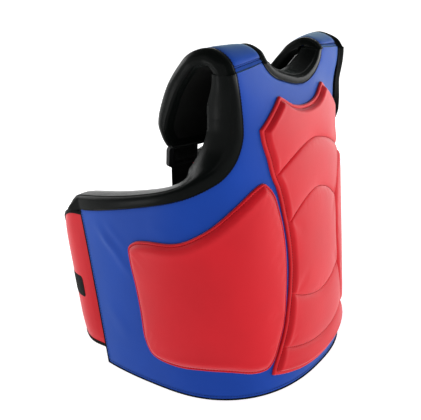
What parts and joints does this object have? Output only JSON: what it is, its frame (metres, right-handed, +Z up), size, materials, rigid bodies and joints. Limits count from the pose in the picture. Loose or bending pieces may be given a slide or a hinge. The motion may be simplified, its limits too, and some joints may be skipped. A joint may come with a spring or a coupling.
{
  "type": "padded body protector vest",
  "caption": "Free-standing wrap-around padded sports vest with raised front and side pads, rolled armhole and neck edging, shoulder straps with sliders and back wings joined by a closure strap.",
  "frame": {"origin": "middle of the whole object's plan box, on the plane of the hem that it stands on", "axes": "+Z up the wearer's body, -Y to the wearer's front, -X to the wearer's right"},
  "size_m": [0.4206, 0.3906, 0.511],
  "materials": {
    "blue_cover": "satin synthetic leather with a fine grain",
    "red_pad": "satin synthetic leather with a fine grain",
    "black_edging": "satin black synthetic leather",
    "black_lining": "matt smooth lining cloth",
    "webbing": "woven synthetic webbing",
    "black_plastic": "moulded satin plastic"
  },
  "bodies": {
    "root": {"body_panel": "blue_cover", "body_lining": "black_lining", "hem_binding": "black_edging", "armhole_edging_right": "black_edging", "armhole_edging_left": "black_edging", "neck_edging": "black_edging", "side_pad_right": "red_pad", "side_pad_left": "red_pad", "centre_pad": "red_pad", "strap_pad_right": "blue_cover", "strap_pad_left": "blue_cover", "strap_lining_right": "black_lining", "strap_lining_left": "black_lining", "strap_edging_right": "black_edging", "strap_edging_left": "black_edging", "strap_webbing_right": "webbing", "strap_webbing_left": "webbing", "strap_slider_right": "black_plastic", "strap_slider_left": "black_plastic", "back_wing_right": "red_pad", "back_wing_left": "red_pad", "wing_binding_right": "black_edging", "wing_binding_left": "black_edging", "closure_strap": "webbing"}
  },
  "joints": []
}
